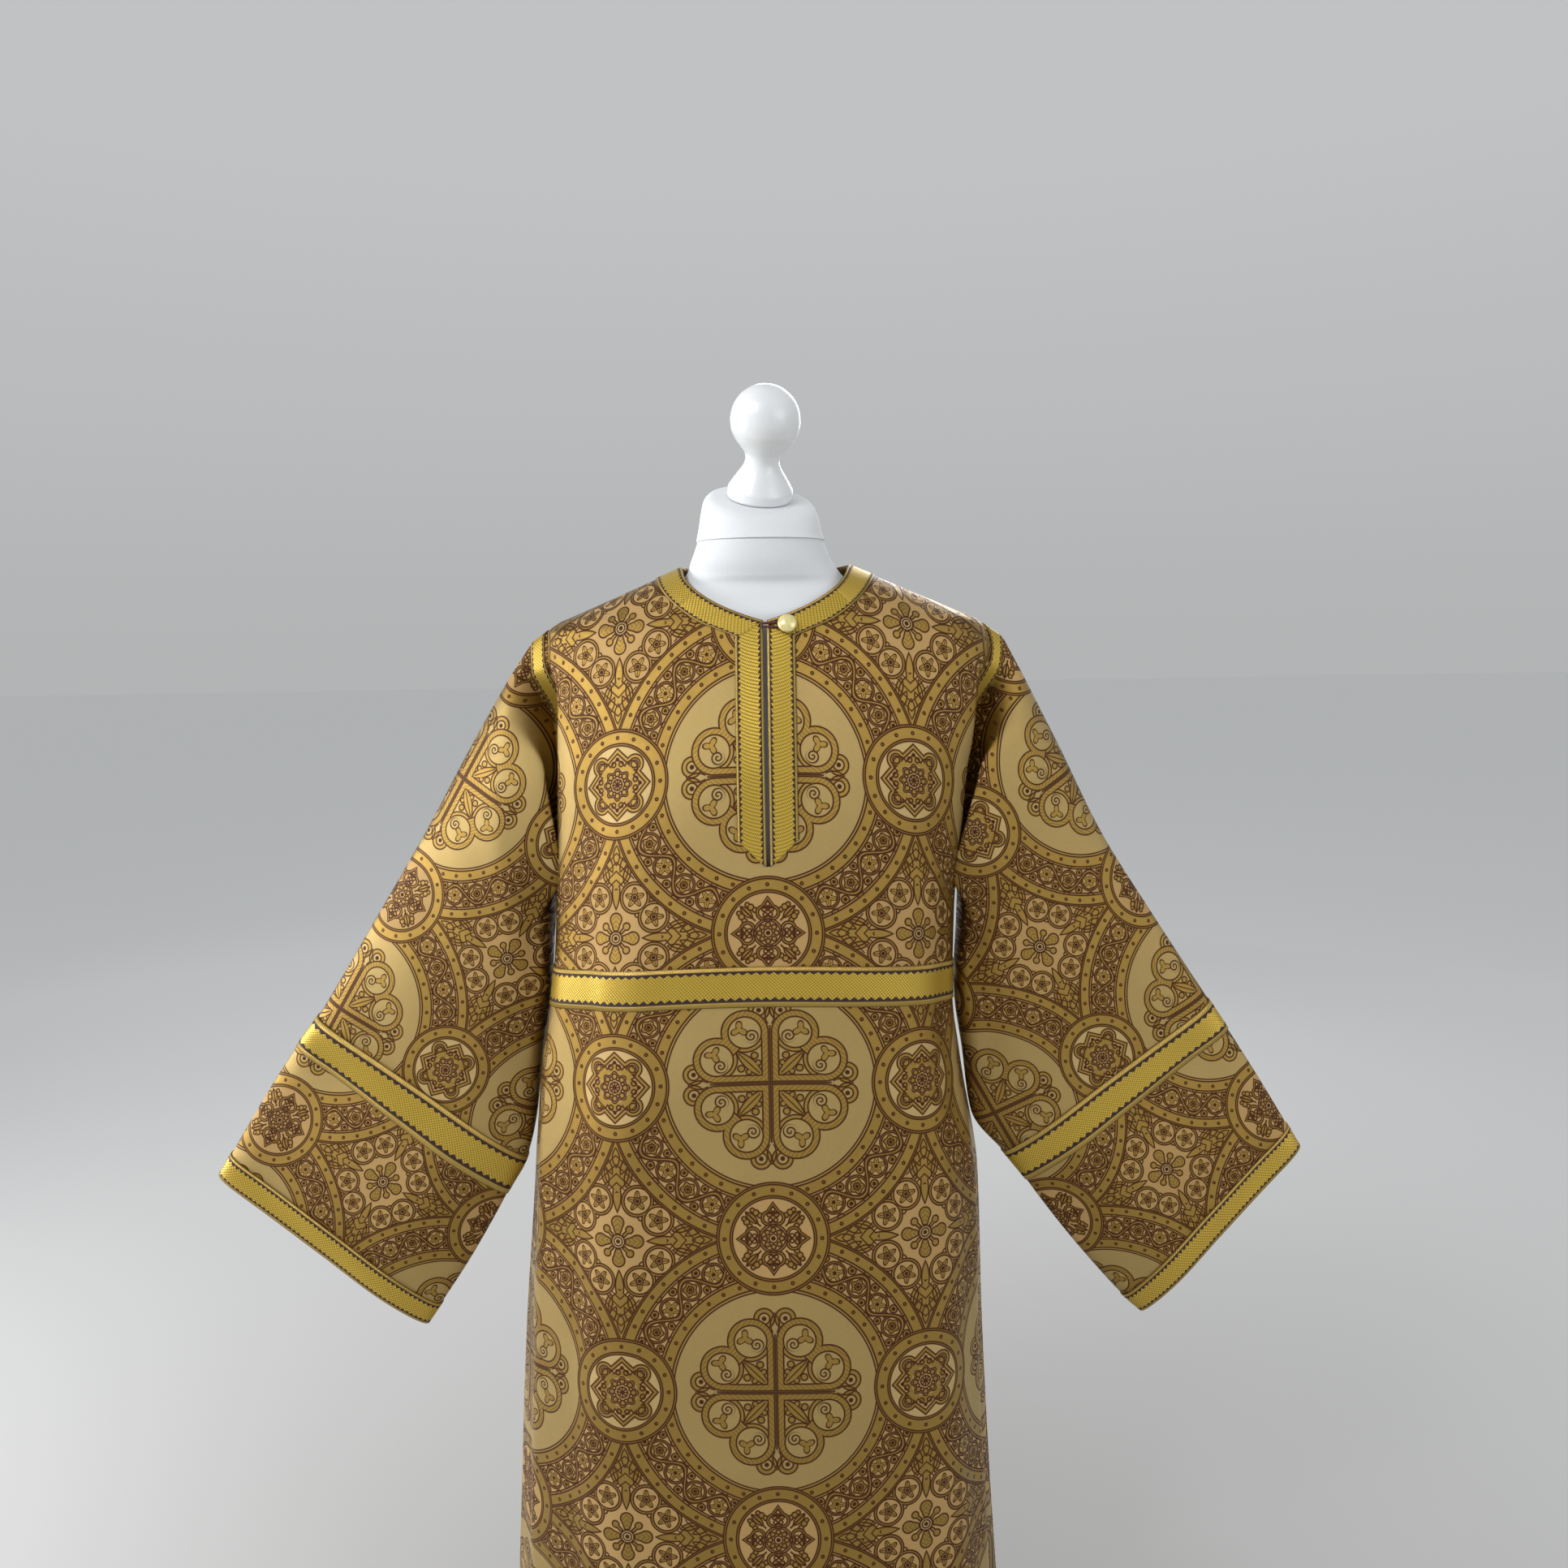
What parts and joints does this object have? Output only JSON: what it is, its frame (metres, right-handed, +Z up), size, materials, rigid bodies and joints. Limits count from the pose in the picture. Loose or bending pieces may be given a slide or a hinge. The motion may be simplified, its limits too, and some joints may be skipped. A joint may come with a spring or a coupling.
{
  "type": "sticharion on dress form",
  "caption": "Long wide-sleeved brocade church tunic with gold braid, hanging on a limbless dress form on a round-footed stand.",
  "frame": {"origin": "middle of the stand's round foot, on the floor", "axes": "+Z up, the front of the garment faces -Y, +X is to the right as seen from the front"},
  "size_m": [1.191, 0.41, 1.6867],
  "materials": {
    "brocade": "tan and gold figured brocade with dark red-brown outlines",
    "galloon": "yellow metallic braid with dark toothed edge lines",
    "button_shell": "pearly pale gold",
    "loop_cord": "dark maroon cord",
    "form_cover": "matte white stretch cover",
    "knob_lacquer": "glossy white lacquer",
    "stand_metal": "satin off-white enamel"
  },
  "bodies": {
    "root": {"front_panel": "brocade", "back_panel": "brocade", "sleeve_left": "brocade", "sleeve_right": "brocade", "collar_braid_left": "galloon", "collar_braid_right": "galloon", "collar_braid_back": "galloon", "slit_braid_left": "galloon", "slit_braid_right": "galloon", "chest_braid_front": "galloon", "chest_braid_back": "galloon", "armhole_braid_left": "galloon", "armhole_braid_right": "galloon", "elbow_braid_left": "galloon", "elbow_braid_right": "galloon", "cuff_braid_left": "galloon", "cuff_braid_right": "galloon", "button": "button_shell", "button_loop": "loop_cord", "form_torso": "form_cover", "form_neck_cap": "form_cover", "form_knob": "knob_lacquer", "stand_pole": "stand_metal", "stand_base": "stand_metal"}
  },
  "joints": []
}
